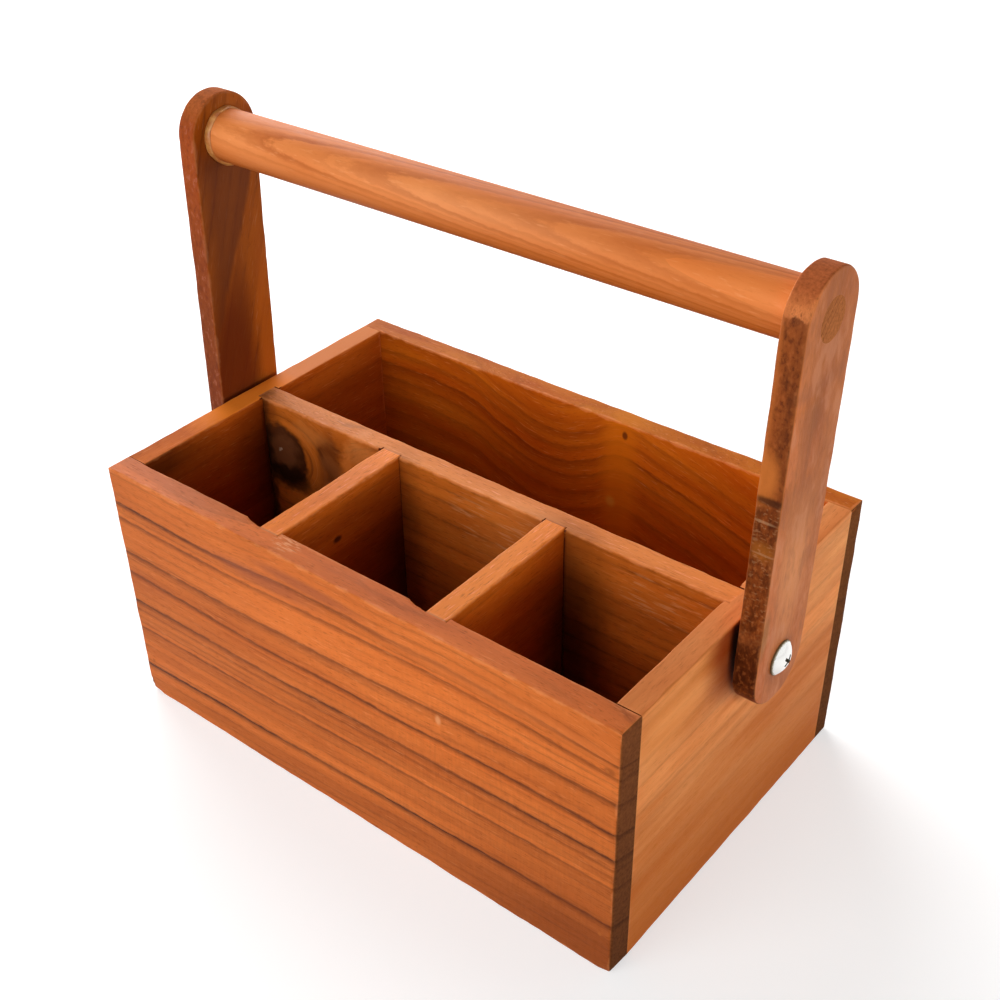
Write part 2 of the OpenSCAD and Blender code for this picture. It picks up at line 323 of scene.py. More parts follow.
def worn(node, finish, ease, wear=0.7, dents=(), arm=None):
    """A copy of a board or arm with uneven arrises, as sanding and use leave them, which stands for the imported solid.
    Ease is the radius in millimetres of the solid's arrises, dents are centre, half sizes and extra wear, and arm is
    the middle of an arm's thickness."""
    low, high = (Vector(corner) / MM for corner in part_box(node))
    pivot = Matrix.Translation((0, 0, PIVOT_H))
    lean = pivot @ Matrix.Rotation(HANDLE_LEAN, 4, "X") @ Matrix.Translation((0, 0, -PIVOT_H))
    made = bmesh.new()
    made.from_mesh(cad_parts[node].data)
    bmesh.ops.remove_doubles(made, verts=made.verts, dist=1e-6)
    bmesh.ops.dissolve_limit(made, angle_limit=math.radians(0.2), verts=made.verts, edges=made.edges)
    bmesh.ops.transform(made, matrix=Matrix.Scale(1 / MM, 4), verts=made.verts)
    if arm:
        bmesh.ops.transform(made, matrix=lean, verts=made.verts)
        low, high = Vector((arm - ARM_HALF_T, -ARM_HALF_W, low.z)), Vector((arm + ARM_HALF_T, ARM_HALF_W, high.z))
    for axis in range(3):
        length = high[axis] - low[axis]
        if length < SHORT_SIDE or (arm and axis < 2):
            continue
        cuts = [low[axis] + CLEAR + i * CUT for i in range(int((length - 2 * CLEAR) / CUT) + 1)]
        for centre, reach, _ in dents:
            finer = [centre[axis] + reach[axis] * share for share in FINE_CUTS]
            cuts += [at for at in finer if low[axis] + CLEAR < at < high[axis] - CLEAR]
        for at in cuts:
            point, normal = Vector((0, 0, 0)), Vector((0, 0, 0))
            point[axis], normal[axis] = at, 1
            whole = [*made.verts, *made.edges, *made.faces]
            bmesh.ops.bisect_plane(made, geom=whole, dist=1e-4, plane_co=point, plane_no=normal)
    for vertex in made.verts:
        at = vertex.co.copy()
        times = rubbed(at, wear, dents) - 1
        if arm:
            out = Vector((0, at.y, at.z - min(max(at.z, PIVOT_H - ARM_TAIL), PIVOT_H + HANDLE_REACH)))
            rim, side = ARM_HALF_W - out.length, ARM_HALF_T - abs(at.x - arm)
            if max(rim, side) < ease + NEAR:
                vertex.co -= out.normalized() * rim * times
                vertex.co.x -= math.copysign(side * times, at.x - arm)
            continue
        depths = [(min(at[i] - low[i], high[i] - at[i]), i) for i in range(3)]
        near = [entry for entry in depths if entry[0] < ease + NEAR]
        if len(near) > 1:
            for depth, i in near:
                inward = 1 if at[i] - low[i] < high[i] - at[i] else -1
                vertex.co[i] += inward * depth * times
    if arm:
        bmesh.ops.transform(made, matrix=lean.inverted(), verts=made.verts)
    bmesh.ops.transform(made, matrix=Matrix.Scale(MM, 4), verts=made.verts)
    mesh = bpy.data.meshes.new(node + "_worn")
    made.to_mesh(mesh)
    made.free()
    mesh.shade_smooth()
    mesh.set_sharp_from_angle(angle=math.radians(32))
    mesh.materials.append(finish)
    piece = bpy.data.objects.new(node + "_worn", mesh)
    bpy.context.scene.collection.objects.link(piece)
    weighted = piece.modifiers.new("flat_faces", "WEIGHTED_NORMAL")
    weighted.keep_sharp = True
    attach(piece, "handle" if arm else "box")
    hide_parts(node)


# Front panel: quarter-sawn, with strong dark growth lines that rise to the right, and droop there near the top
FRONT_AT = (-125, -100, -75, -50, -25, 0, 25, 50, 75, 100, 125)
FRONT_BEND = [(low, high, list(zip(FRONT_AT, rises))) for low, high, rises in (
    (0, 1, (0, 0.8, 2.0, 2.5, 4.0, 5.1, 6.5, 7.5, 8.7, 9.6, 10.2)),
    (20, 50, (0, 0.4, 0.7, 1.2, 2.2, 3.6, 4.7, 5.6, 6.7, 7.7, 8.5)),
    (54, 64, (0, -0.3, -0.7, -0.9, 0, 1.3, 1.8, 3.1, 4.5, 5.0, 5.2)),
    (68, 77, (0, 0.3, 0.5, 1.0, 2.0, 3.0, 4.5, 6.3, 7.5, 8.7, 9.3)),
    (81, 91.5, (0, 0, 0.1, 0.7, 2.1, 3.5, 4.9, 6.1, 6.0, 4.9, 3.7)),
    (95.5, 99, (0, -0.3, -0.6, 0.9, 3.3, 4.1, 4.0, 5.1, 4.6, 3.3, 0.3)))]
FRONT_LINES = [
    (102.6, 1.0, 2.4, 0.9), (95.2, 0.75, 2.8, 0.9), (77.9, 0.85, 3.6, 0.9), (67.2, 1.0, 3.2, 0.9),
    (51.9, 1.0, 4.2, 0.9), (47.0, 0.52, 2.0, 0.8), (36.8, 0.75, 2.6, 0.9), (15.8, 1.0, 3.0, 1.0)]
# Wood has broken away beside the cross dividers' housings and at the lower corners
FRONT_DENTS = [
    ((-48, FRONT_IN, BOX_H), (7, 4, 5), 6.0), ((34.5, FRONT_IN, BOX_H), (7, 4, 5), 6.0),
    ((-BOX_HALF_L, FRONT_FACE, 0), (7, 5, 7), 2.6), ((-108, FRONT_IN, BOX_H), (9, 3, 4), 1.6),
    ((BOX_HALF_L, FRONT_FACE, 0), (5, 5, 5), 1.6), ((BOX_HALF_L, FRONT_FACE, 60), (5, 5, 90), 1.1)]
# Purplish streaks over the first line, a brown patch at the left, a darker lower right corner, a pale dent, the dark
# smear of a brad, and the first line's faded right half
FRONT_MARKS = [
    ((-16, FRONT_FACE, 110), (26, 6, 2.6), 1.2, 0.55, "#86442f"),
    ((-40, FRONT_FACE, 102.5), (26, 6, 3.4), 1.4, 0.45, "#8a4a36"),
    ((-117, FRONT_FACE, 64), (16, 6, 6), 1.4, 0.35, "#8f4420"),
    ((120, FRONT_FACE, 2), (60, 12, 32), 1.8, 0.62, "#6c2a00"),
    ((47.9, FRONT_FACE, 80.4), (1.2, 4, 2.0), 1.2, 0.6, "#e09c68"),
    ((121, FRONT_FACE, 100.4), (2.2, 4, 1.4), 1.0, 0.5, "#5a2c10"),
    ((72, FRONT_FACE, 107), (56, 6, 2.6), 0.9, 0.5, "#d07034")]


def front_marks(colour, here):
    """The front panel's marks, on a board that is a little lighter at the upper right, with faint marks of the saw
    about 1 mm wide across the grain, and fibres torn up on the top edge."""
    tree, place = here["tree"], here["place"]
    put = partial(add, tree)
    light = put("MapRange", spot(tree, place, (30, FRONT_FACE, 88), (90, 12, 40), 1.8), 0, 1, 0.92, 1.14)
    colour = put("VectorMath", colour, named={"Scale": light}, operation="SCALE")
    colour = stained(here, colour, FRONT_MARKS)
    chatter = put("VectorMath", place, (1 / 1.1, 1 / 4, 1 / 8), operation="MULTIPLY")
    chatter = put("Math", put("TexNoise", chatter, None, 1.0, 3.0, 0.6), 0.5, operation="SUBTRACT")
    sawn = spot(tree, place, (70, FRONT_FACE, 45), (90, 12, 60), 1.6)
    chatter = put("MapRange", put("Math", chatter, sawn, operation="MULTIPLY"), -0.2, 0.2, 0.93, 1.07)
    colour = put("VectorMath", colour, named={"Scale": chatter}, operation="SCALE")
    strokes = put("VectorMath", place, (1 / 4, 1 / 0.8, 1 / 4), operation="MULTIPLY")
    strokes = put("MapRange", put("TexNoise", strokes, None, 1.0, 2.0, 0.5), 0.45, 0.6, 0, 0.55)
    torn = put("Math", strokes, spot(tree, place, (-30, -74, BOX_H), (6, 4, 6), 0.8), operation="MULTIPLY")
    return put("MixRGB", torn, colour, linear("#eab080"))


worn("front_panel", ease=0.8, wear=0.8, dents=FRONT_DENTS, finish=teak(
    "oiled_teak_front_panel", 0, (0, 0.35, 1), 1, ("#bc5f24", "#d27030"), line="#38140a", end="#683a1c",
    bend=FRONT_BEND, drawn=FRONT_LINES, origin=(0, FRONT_FACE, 0), spacing=4.5, strength=0.3, wander=0.6, seed=1.0,
    raggedness=0.38, top=(0.95, 0.9, 0.85), special=front_marks, arris=partial(board_arris, name="front_panel")))

# Back panel: the growth lines dip in two waves beside a paler band with two pin knots
BACK_BEND = [(-125, 0), (-65, 0), (-42, -8), (-16, -14), (5, -8), (15, -2), (22, 0), (40, -4), (62, -10), (88, -19),
             (125, -28)]
BACK_LINES = [(117, 0.35, 4, 1.2), (109.5, 0.3, 4, 1.2), (102.4, 0.6, 5, 1.0), (95, 0.4, 4, 1.2), (86, 0.3, 4, 1.2),
              (77, 0.35, 5, 1.2), (66, 0.3, 4, 1.2)]
BACK_MARKS = [
    ((20, BACK_IN, 84), (8, 30, 60), 1.2, 0.6, "#cc6a0c"),
    ((22.5, BACK_IN, 113.5), (1.3, 4, 1.9), 0.8, 0.8, "#4a1c08"),
    ((16.5, BACK_IN, 78), (2.2, 4, 2.4), 1.2, 0.7, "#c8802e")]


def back_band(colour, here):
    """The paler band and its pin knots, and an outside that is faded to the tone of the front panel."""
    put = partial(add, here["tree"])
    colour = stained(here, colour, BACK_MARKS)
    outside = put("MapRange", here["facing"]["Y"], *TOWARDS)
    faded = put("VectorMath", colour, (1.04, 1.12, 1.0), (0, 0.006, 0.018), operation="MULTIPLY_ADD")
    return put("MixRGB", outside, colour, faded)


worn("back_panel", ease=0.8, wear=0.8, finish=teak(
    "oiled_teak_back_panel", 0, (0, 0.35, 1), 1, ("#ae4a06", "#c66410"), end="#663a1c", bend=[(0, 1, BACK_BEND)],
    drawn=BACK_LINES, drawn_over=(0, 150), origin=(0, BACK_IN, 0), spacing=8.0, strength=0.2, seed=2.0, gleam=0.05,
    top=(0.95, 1.15, 1.2), special=back_band, arris=partial(board_arris, name="back_panel")))


def left_end_bands_and_painted_light(colour, here):
    """Growth bands on the outside, painted shade in the left compartment's back corner and high at its front, and a top
    edge painted brighter beside the arm, as painted light where the arm's shadow falls, and paler at the back."""
    put = partial(add, here["tree"])
    facing, y, z = here["facing"], here["axes"][1], here["axes"][2]
    outside, inside, above = (put("MapRange", *side) for side in (
        (facing["X"], *AWAY), (facing["X"], *TOWARDS), (facing["Z"], *TOWARDS)))
    colour = put("MixRGB", put("Math", outside, 0.55, operation="MULTIPLY"), colour, linear("#b56c3c"))
    bands = put("VectorMath", here["grain"], (1 / 140, 1 / 8, 1 / 8), operation="MULTIPLY")
    bands = put("TexNoise", bands, None, 1.0, 2.0, 0.5)
    lines = put("VectorMath", here["grain"], (1 / 90, 1 / 2.4, 1 / 2.4), operation="MULTIPLY")
    lines = put("TexNoise", lines, None, 1.0, 2.0, 0.5)
    colour = mottled(here, colour, ((bands, 0.44, 0.64, 0.5, "#8a4018"), (lines, 0.54, 0.66, 0.4, "#6a2c0c")), outside)
    # Painted light on the top edge beside the arm, where the arm's shadow falls, and a paler top at the back
    colour = mottled(here, colour, ((y, -44, -24, 0.85, "#ff8a34"), (y, 9, 18, 0.95, "#d0784f")), above)
    # Painted shade in the left compartment's back corner, more of it lower down, and high at its front
    painted_shade = put("Math", put("MapRange", y, -28, -6, 0, 0.7), put("MapRange", z, BOX_H, 95, 0.3, 1),
               operation="MULTIPLY")
    before = put("MapRange", y, DIVIDER_FACE + 2, DIVIDER_FACE + 1, 0, 1)
    painted_shade = put("Math", painted_shade, before, operation="MULTIPLY")
    fore = put("Math", put("MapRange", y, -24, -58, 0, 0.75), put("MapRange", z, 99, 111, 0, 1), operation="MULTIPLY")
    painted_shade = put("Math", painted_shade, fore, operation="MAXIMUM")
    return put("MixRGB", put("Math", painted_shade, inside, operation="MULTIPLY"), colour, linear("#2a0c02"))


worn("left_end_panel", ease=0.8, finish=teak(
    "oiled_teak_left_end", 1, (0.35, 0, 1), 0, ("#a84a0c", "#bd5c16"), spacing=9.0, strength=0.2, seed=3.0,
    wear=0.15, gleam=0.03, top=(0.9, 0.95, 0.7), special=left_end_bands_and_painted_light,
    arris=partial(board_arris, name="left_end_panel")))

# Right end panel: flat-sawn, so its growth lines are broad soft bands; it is browner below, which is painted shade,
# and dark beside and behind the arm, which is painted shade of the arm and painted shadow in the gap
RIGHT_BANDS = [(113, 0.3, 4, 3), (96, 0.28, 2.2, 1.6), (72.5, 0.3, 2.4, 2), (64, 0.4, 6, 4), (38, 0.45, 10, 7),
               (13, 0.6, 10, 8)]
# Marks on the outside: a pale patch at the front, painted shade beside the arm, and painted shadow in the gap behind it
RIGHT_MARKS = [
    ((BOX_HALF_L, -50, 106), (9, 22, 14), 1.4, 0.4, "#ffa050"),
    ((BOX_HALF_L, -8, 112), (9, 20, 22), 0.8, 0.8, "#8d2a00"),
    ((BOX_HALF_L, 2, 116), (9, 17.5, 38), 0.3, 0.95, "#140601")]


def painted_shade_by_arm(colour, here):
    """Painted shade that makes the board browner low down, and on its outside a pale patch at the front and painted
    shade and shadow beside and behind the arm.
    """
    put = partial(add, here["tree"])
    # Painted shade, browner towards the bottom
    colour = put("MixRGB", put("MapRange", here["axes"][2], 85, 10, 0, 0.85), colour, linear("#b85c00"))
    # Painted shade and shadow of the arm, on the outside only
    return stained(here, colour, RIGHT_MARKS, only=put("MapRange", here["facing"]["X"], *TOWARDS))


worn("right_end_panel", ease=0.8, finish=teak(
    "oiled_teak_right_end", 1, (0.35, 0, 1), 0, ("#d67632", "#ffaa64"), line="#9a4810", drawn=RIGHT_BANDS,
    origin=(BOX_HALF_L, 0, 0), spacing=11.0, strength=0.2, seed=4.0, pored=0.3, fleckiness=0.15, wear=0.1, gleam=0.05,
    top=(0.74, 0.64, 0.58), special=painted_shade_by_arm, arris=partial(board_arris, name="right_end_panel")))
dress("bottom_board", teak("oiled_teak_bottom", 0, (0, 1, 0.4), 2, ("#9c4a1a", "#b4602a"), seed=5.0))

# Long divider: a dark oval knot in the left compartment, which the growth lines run round. Each mark has its place
# along and up the board, its half sizes, softness, share and shade
KNOT = (-104.5, DIVIDER_FACE, 94.0)
# The tall dark marks by the cross dividers and the left end, and the dark top-left one, are painted corner shade
DIVIDER_MARKS = [((x, DIVIDER_FACE, z), (half_x, 9, half_z), *rest) for x, z, half_x, half_z, *rest in (
    (KNOT[0], KNOT[2], 13.5, 14.5, 0.3, 0.95, "#2e150a"), (KNOT[0] - 2, KNOT[2] + 2, 10, 10, 0.8, 0.85, "#784628"),
    (-102, 82.5, 14, 6, 0.8, 0.85, "#1e0e04"), (-77, 103, 6, 11, 1.0, 0.65, "#4a2010"),
    (-36, 60, 10, 58, 1.3, 0.45, "#2a0c02"), (46, 58, 21, 58, 1.3, 0.8, "#1a0601"),
    (-106, 96.5, 0.8, 0.8, 0.8, 0.8, "#b8a08a"), (-116, 78, 4.5, 48, 1.0, 0.8, "#241006"),
    (-87, 110, 9, 5, 1.2, 0.45, "#cc7c3c"), (-76, 98, 5, 5, 1.2, 0.4, "#c4743a"),
    (26, 100, 20, 24, 1.4, 0.3, "#e08a40"), (-66, 104, 3, 9, 1.2, 0.5, "#e8883c"),
    (-57, 112, 8, 6, 1.2, 0.4, "#e0904c"), (-113, 112, 8, 7, 1.2, 0.45, "#3a1406"))]
BESIDE_KNOT = ((KNOT[0] + 27, DIVIDER_FACE, 84), (9, 9, 17), 1.2, 0.5, "#4a2413")


def round_knot(tree, place, level):
    """Growth lines that turn into rings as they near the knot."""
    put = partial(add, tree)
    away = put("VectorMath", place, KNOT, operation="SUBTRACT")
    away = put("VectorMath", away, (0.8, 0.2, 1), operation="MULTIPLY")
    away = put("VectorMath", away, operation="LENGTH", out=1)
    close = put("MapRange", away, 52, 14, 0, 1, interpolation_type="SMOOTHSTEP")
    return put("Mix", close, named={2: level, 3: put("Math", away, KNOT[2], operation="ADD")})


def knot_saw_marks_and_painted_shade(colour, here):
    """The knot's grey-brown heart in a black rim, patches with lumpy outlines, some of them painted shade in the
    corners of the compartments, and pale strokes about 1 mm high that the saw left in the middle and right
    compartments."""
    tree, place = here["tree"], here["place"]
    put = partial(add, tree)
    lumpy = put("VectorMath", place, (1 / 6,) * 3, operation="MULTIPLY")
    lumpy = put("TexNoise", lumpy, None, 1.0, 2.0, 0.5, out="Color")
    lumpy = put("VectorMath", lumpy, (0.5,) * 3, operation="SUBTRACT")
    lumpy = put("VectorMath", lumpy, (9, 0, 9), place, operation="MULTIPLY_ADD")
    colour = stained(here, colour, DIVIDER_MARKS, place=lumpy)
    colour = stained(here, colour, [BESIDE_KNOT])
    strokes = put("VectorMath", place, (1 / 9, 1 / 3, 1 / 0.9), operation="MULTIPLY")
    strokes = put("MapRange", put("TexNoise", strokes, None, 1.0, 2.0, 0.5), 0.55, 0.67, 0, 0.42)
    where = put("Math", spot(tree, place, (16, DIVIDER_FACE, 104), (26, 3, 13), 0.8),
                spot(tree, place, (92, DIVIDER_FACE, 106), (22, 3, 10), 0.8), operation="MAXIMUM")
    return put("MixRGB", put("Math", strokes, where, operation="MULTIPLY"), colour, linear("#d99a66"))


worn("long_divider", ease=1.0, finish=teak(
    "oiled_teak_long_divider", 0, (0, 0.35, 1), 1, ("#b45a18", "#c86c22"), origin=(0, DIVIDER_FACE, 0), spacing=7.0,
    strength=0.4, seed=6.0, top=(1.35, 1.65, 3.0), warp=round_knot, special=knot_saw_marks_and_painted_shade,
    arris=partial(board_arris, name="long_divider")))

# A pin knot on the left cross divider
PIN_KNOT = ((LEFT_CROSS_FACE, -42, 100), (3, 2.2, 1.4), 0.9, 0.85, "#2a0e04")


def cross_joints(colour, here, knots):
    """Painted shadow lines in the joints at both ends, painted shade in the corners at the back, and any pin knots."""
    put = partial(add, here["tree"])
    y, z = here["axes"][1], here["axes"][2]
    # Painted shadow lines in the joints at both ends
    painted_shade = put("Math", put("MapRange", y, -3.0, -2.4, 0, 0.75), put("MapRange", y, -71.5, -72.2, 0, 0.6),
               operation="MAXIMUM")
    colour = put("MixRGB", painted_shade, colour, linear("#4a2210"))
    # Painted shade in the back corners, more of it lower down, on the faces turned right
    corner = put("Math", put("MapRange", y, -48, -8, 0, 0.8), put("MapRange", z, 117, 80, 0, 1), operation="MULTIPLY")
    right = put("MapRange", here["facing"]["X"], *TOWARDS)
    colour = put("MixRGB", put("Math", corner, right, operation="MULTIPLY"), colour, linear("#1e0801"))
    return stained(here, colour, knots)


for side, seed, knots in (("left", 7.0, [PIN_KNOT]), ("right", 8.0, [])):
    worn(side + "_cross_divider", ease=1.0, finish=teak(
        "oiled_teak_%s_cross" % side, 1, (0.35, 0, 1), 0, ("#b05512", "#c66816"), spacing=9.0, strength=0.2, seed=seed,
        top=(1.5, 1.75, 3.8), special=partial(cross_joints, knots=knots),
        arris=partial(board_arris, name=side + "_cross_divider")))


def arm_marks(x, half_x, rows):
    """Marks on an arm at one depth, from rows of the place across the arm and along it from the pivot, the half sizes,
    softness, share and shade."""
    return [((x, u, PIVOT_H + d), (half_x, half_u, half_d), *rest) for u, d, half_u, half_d, *rest in rows]


LEFT_ARM_MARKS = arm_marks(-ARM_MID_X, 40, (
    (-7, 24, 13, 46, 0.9, 0.85, "#5e2004"), (0, 62, 4, 20, 1.2, 0.35, "#6a2e08"),
    (13, 30, 5, 50, 1.0, 0.7, "#a85210")))


def dark_heart(colour, here):
    """Chocolate heartwood that crosses the inner face of the left arm on a slant, darker wood low on it, and a
    stained front edge with grit in it."""
    tree, place, facing = here["tree"], here["place"], here["facing"]
    put = partial(add, tree)
    u, d = here["axes"][1], here["axes"][2]
    inner = put("MapRange", facing["X"], *TOWARDS)
    colour = stained(here, colour, LEFT_ARM_MARKS, only=inner)
    edge = put("MapRange", facing["Y"], -0.6, -0.95, 0, 0.85)
    upper = put("MapRange", d, PIVOT_H + 55, PIVOT_H + 125, 0, 1)
    colour = put("MixRGB", edge, colour, put("MixRGB", upper, linear("#75310c"), linear("#963f0c")))
    grit = put("VectorMath", place, (1 / 1.6, 1 / 1.6, 1 / 3.2), operation="MULTIPLY")
    grit = put("TexNoise", grit, None, 1.0, 3.0, 0.6)
    colour = mottled(here, colour, ((grit, 0.57, 0.68, 0.35, "#b8745a"), (grit, 0.46, 0.34, 0.4, "#4c1a08")), edge)
    slant = put("Math", put("Math", d, PIVOT_H + 81.5, operation="SUBTRACT"), -0.405, u, operation="MULTIPLY_ADD")
    torn = put("VectorMath", place, (1 / 4, 1 / 4, 1 / 30), operation="MULTIPLY")
    torn = put("MapRange", put("TexNoise", torn, None, 1.0, 3.0, 0.6), 0.3, 0.7, -1.2, 1.2)
    slant = put("Math", torn, slant, operation="ADD")
    heart = put("MapRange", slant, 1.4, -1.6, 0, 0.75, interpolation_type="SMOOTHSTEP")
    heart = put("Math", heart, put("MapRange", d, PIVOT_H + 138, PIVOT_H + 118, 0.15, 1), operation="MULTIPLY")
    heart = put("Math", heart, put("MapRange", u, -17, -9, 0.4, 1), operation="MULTIPLY")
    return put("MixRGB", put("Math", heart, inner, operation="MULTIPLY"), colour, linear("#5a290e"))


worn("left_arm", ease=0.8, wear=0.8, arm=-ARM_MID_X, finish=teak(
    "oiled_teak_left_arm", 2, (0.3, 1, -0.3), 0, ("#904406", "#a8560e"), end="#8a461e", fleck="#c88a62", leaning=True,
    spacing=6.0, strength=0.45, seed=9.0, wear=0.15, special=dark_heart,
    arris=partial(arm_arris, middle=-ARM_MID_X)))

# Smudges on the right arm's outer face, among them a dark ring round the screw head that is partly soiling and partly
# painted shadow of the head, which lie a little outside it so that they don't reach the inner one
RIGHT_ARM_MARKS = arm_marks(140, 9, (
    (-1, 40, 9, 24, 1.6, 0.65, "#ea9a60"), (0, 62, 14, 12, 1.3, 0.4, "#a8602e"), (-2, 97, 5, 9, 1.3, 0.6, "#8a4c22"),
    (9, 88, 8, 30, 1.4, 0.35, "#a55c2e"), (0, 128, 16, 22, 1.3, 0.4, "#a45c2c"), (-12, 68, 5, 8, 1.2, 0.4, "#a9602e"),
    (-15, 18, 3, 9, 1.0, 0.5, "#8f6a34"), (0, -1, 9.4, 9.4, 0.5, 0.4, "#7a3c1c"), (6, -12, 7, 4, 1.2, 0.25, "#8a4628"),
    (0, HANDLE_REACH, 8.1, 8.1, 0.1, 0.5, "#cc8e66"), (-3, 84, 1.2, 9, 1.2, 0.4, "#8a4a26"),
    (1, 108, 15, 3, 1.4, 0.35, "#94522c"), (12, 58, 2, 24, 1.4, 0.35, "#9c5830")))
# Bands up its front edge: from and to in millimetres above the pivot, softness, share and shade
EDGE_BANDS = ((71, 134.2, 0.6, 0.92, "#7c3b11"), (16, 72, 4, 0.92, "#5e2703"), (-18, 17, 9, 0.97, "#461900"))
# Marks on its front edge: place across the edge from its middle and up from the pivot, then as on the face
EDGE_MARKS = [((ARM_MID_X + x, -16, PIVOT_H + d), (half_x, 3, half_d), *rest) for x, d, half_x, half_d, *rest in (
    (-4.5, 104, 2.0, 38, 0.8, 0.6, "#b05e28"), (4.5, 100, 4, 42, 1.2, 0.25, "#461a06"),
    (-2.5, 79, 4.6, 9, 1.0, 0.8, "#bd6a2c"), (1, 71, 6.5, 1.4, 1.0, 0.8, "#341404"),
    (0, 52, 4, 3.5, 1.2, 0.5, "#a05c1c"), (1, 50.8, 4.6, 0.4, 1.0, 0.28, "#b99068"),
    (-1, 63, 4.4, 0.5, 1.0, 0.3, "#c09a70"))]


def rough_edge(colour, here):
    """The front edge of the right arm is left from the saw, dark and torn with pale ticks, and its face is smudged,
    with a dark ring round the screw head that is partly soiling and partly painted shadow.
    """
    tree, place, facing = here["tree"], here["place"], here["facing"]
    put = partial(add, tree)
    d = here["axes"][2]
    outer = put("MapRange", facing["X"], *TOWARDS)
    colour = stained(here, colour, RIGHT_ARM_MARKS, only=outer)
    cloud = put("VectorMath", place, (1 / 7, 1 / 7, 1 / 16), operation="MULTIPLY")
    cloud = put("TexNoise", cloud, None, 1.0, 3.0, 0.6)
    colour = mottled(here, colour, ((cloud, 0.5, 0.64, 0.4, "#94522c"), (cloud, 0.48, 0.36, 0.3, "#dc966e")), outer)

    # Dark bands with torn borders up the front edge, blotched and gritty
    front = put("MapRange", facing["Y"], -0.45, -0.8, 0, 1)
    torn = put("VectorMath", place, (1 / 3, 1 / 3, 1 / 9), operation="MULTIPLY")
    torn = put("TexNoise", torn, None, 1.0, 3.0, 0.6)
    lifted = put("Math", put("MapRange", torn, 0.3, 0.7, -4, 4), d, operation="ADD")
    border = put("Mix", 0.3, named={2: d, 3: lifted})
    for start, stop, soft, most, shade in EDGE_BANDS:
        low, high = PIVOT_H + start, PIVOT_H + stop
        rise = put("MapRange", border, low - soft, low + soft, 0, most, interpolation_type="SMOOTHSTEP")
        fall = put("MapRange", border, high + soft, high - soft, 0, 1, interpolation_type="SMOOTHSTEP")
        band = put("Math", put("Math", rise, fall, operation="MULTIPLY"), front, operation="MULTIPLY")
        colour = put("MixRGB", band, colour, linear(shade))
    grit = put("VectorMath", place, (1 / 1.4, 1 / 1.4, 1 / 2.2), operation="MULTIPLY")
    grit = put("TexNoise", grit, None, 1.0, 3.0, 0.6)
    colour = mottled(here, colour, (
        (torn, 0.45, 0.65, 0.3, "#8f4418"), (torn, 0.5, 0.34, 0.5, "#3a1302"),
        (grit, 0.53, 0.66, 0.5, "#a05628"), (grit, 0.47, 0.34, 0.55, "#3c1402")), front)
    colour = stained(here, colour, EDGE_MARKS, only=front)

    # Pale ticks of the saw, about 1 mm high, between two heights
    ticks = put("VectorMath", place, (1 / 1.8, 1, 1 / 0.8), operation="MULTIPLY")
    ticks = put("MapRange", put("TexNoise", ticks, None, 1.0, 2.0, 0.5), 0.57, 0.66, 0, 0.24)
    sawn = put("Math", put("MapRange", d, PIVOT_H + 12, PIVOT_H + 30, 0, 1),
               put("MapRange", d, PIVOT_H + 71, PIVOT_H + 69, 0, 1), operation="MULTIPLY")
    ticks = put("Math", put("Math", ticks, sawn, operation="MULTIPLY"), front, operation="MULTIPLY")
    return put("MixRGB", ticks, colour, linear("#b8865c"))


worn("right_arm", ease=0.8, wear=0.8, arm=ARM_MID_X, finish=teak(
    "oiled_teak_right_arm", 2, (0.3, 1, 0), 0, ("#bc6430", "#d07a42"), end="#8c4824", leaning=True, spacing=9.0,
    strength=0.15, seed=10.0, wear=0.08, pored=0.3, fleckiness=0.15, special=rough_edge,
    arris=partial(arm_arris, middle=ARM_MID_X)))

# Dowel: flat-sawn on the side that faces forward, where tilted growth layers end in long nested points. The lines are
# given by their distance from the dowel's axis at its middle, in millimetres
DOWEL_LINES = [(4.6, 0.35, 0.8, 0.3), (6.5, 0.7, 1.0, 0.3), (7.9, 0.3, 0.6, 0.3), (9.0, 0.75, 1.0, 0.3),
               (10.4, 0.35, 0.7, 0.3), (11.7, 0.7, 1.0, 0.3), (13.1, 0.45, 0.8, 0.3)]
# A painted highlight along the dowel's middle
PAINTED_HIGHLIGHT = ((4, DOWEL_AXIS[1] - 8, DOWEL_AXIS[2] + 6), (48, 9, 6), 1.6, 0.2, "#ffb67e")


def painted_shade_and_highlight(colour, here):
    """The dowel's underside is painted darker, as painted shade, and its middle carries a painted highlight."""
    put = partial(add, here["tree"])
    # Painted shade on the underside
    under = put("MapRange", here["facing"]["Z"], 0.35, -0.7, 0, 0.8)
    return stained(here, put("MixRGB", under, colour, linear("#9a4a10")), [PAINTED_HIGHLIGHT])


dress("handle_dowel", teak(
    "turned_teak_dowel", 0, (0.04, -0.756, 0.655), 1, ("#d97a3a", "#ea9152"), line="#a8501a", end="#98592f",
    pore="#a8561c", fleck="#f2a870", drawn=DOWEL_LINES, drawn_over=(0, 16), origin=DOWEL_AXIS, spacing=3.0,
    strength=0.12, wander=0.6, raggedness=0.18, pored=0.15, top=(0.82, 0.7, 0.52), special=painted_shade_and_highlight, seed=11.0))


def dried_glue(name):
    """Wood glue squeezed out of a joint and dried: pale tan, blotched with the dust it took up, smooth, half dull."""
    made, tree, surface = new_material(name)
    put = partial(add, tree)
    place = put("VectorMath", put("TexCoord", out="Object"), (1 / MM,) * 3, operation="MULTIPLY")
    blotch = put("MapRange", put("TexNoise", place, None, 1 / 3.5, 3.0, 0.6), 0.35, 0.65, 0, 1)
    tree.links.new(put("MixRGB", blotch, linear("#a85e26"), linear("#c88c48")), surface.inputs["Base Color"])
    tree.links.new(put("MapRange", blotch, 0, 1, 0.35, 0.5), surface.inputs["Roughness"])
    return made


